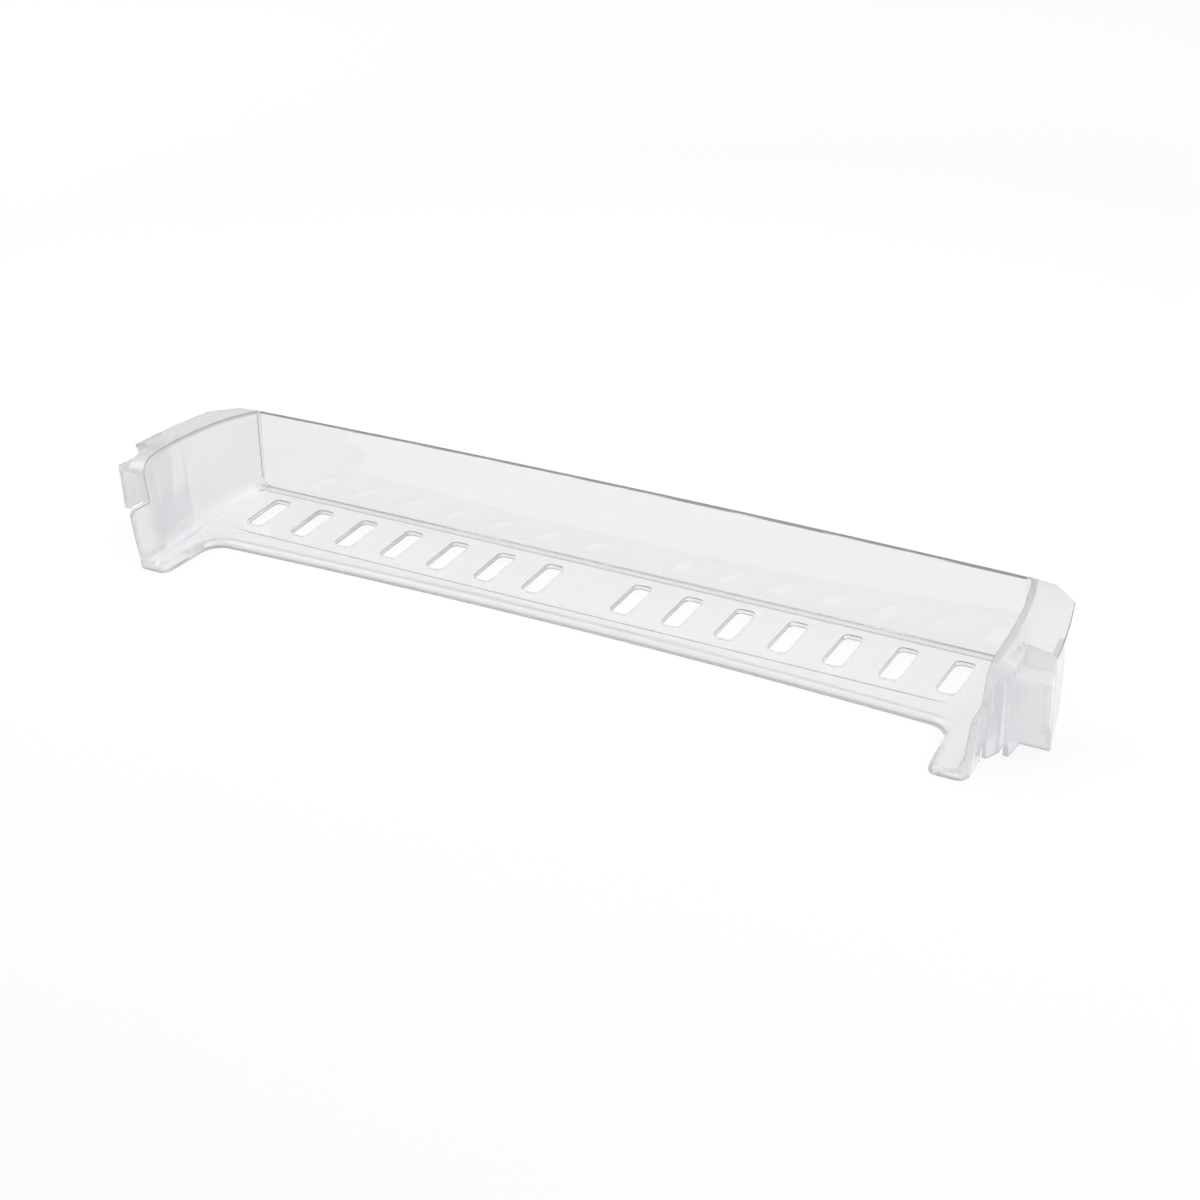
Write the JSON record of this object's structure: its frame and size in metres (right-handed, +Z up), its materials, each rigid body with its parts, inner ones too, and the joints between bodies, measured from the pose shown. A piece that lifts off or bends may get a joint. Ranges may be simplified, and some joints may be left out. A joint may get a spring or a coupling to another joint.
{
  "type": "fridge door shelf",
  "caption": "Clear moulded refrigerator door shelf: shallow open tray with a tall front wall, crowned end flanges, hook pockets at both ends and a slotted floor.",
  "frame": {"origin": "middle of the bounding box at the lower rim the shelf stands on", "axes": "+X along the shelf, +Y from the door towards the room, +Z up"},
  "size_m": [0.5036, 0.1058, 0.0525],
  "materials": {
    "clear_plastic": "clear polystyrene, polished as moulded, edges read grey"
  },
  "bodies": {
    "root": {"door_shelf": "clear_plastic"}
  },
  "joints": []
}
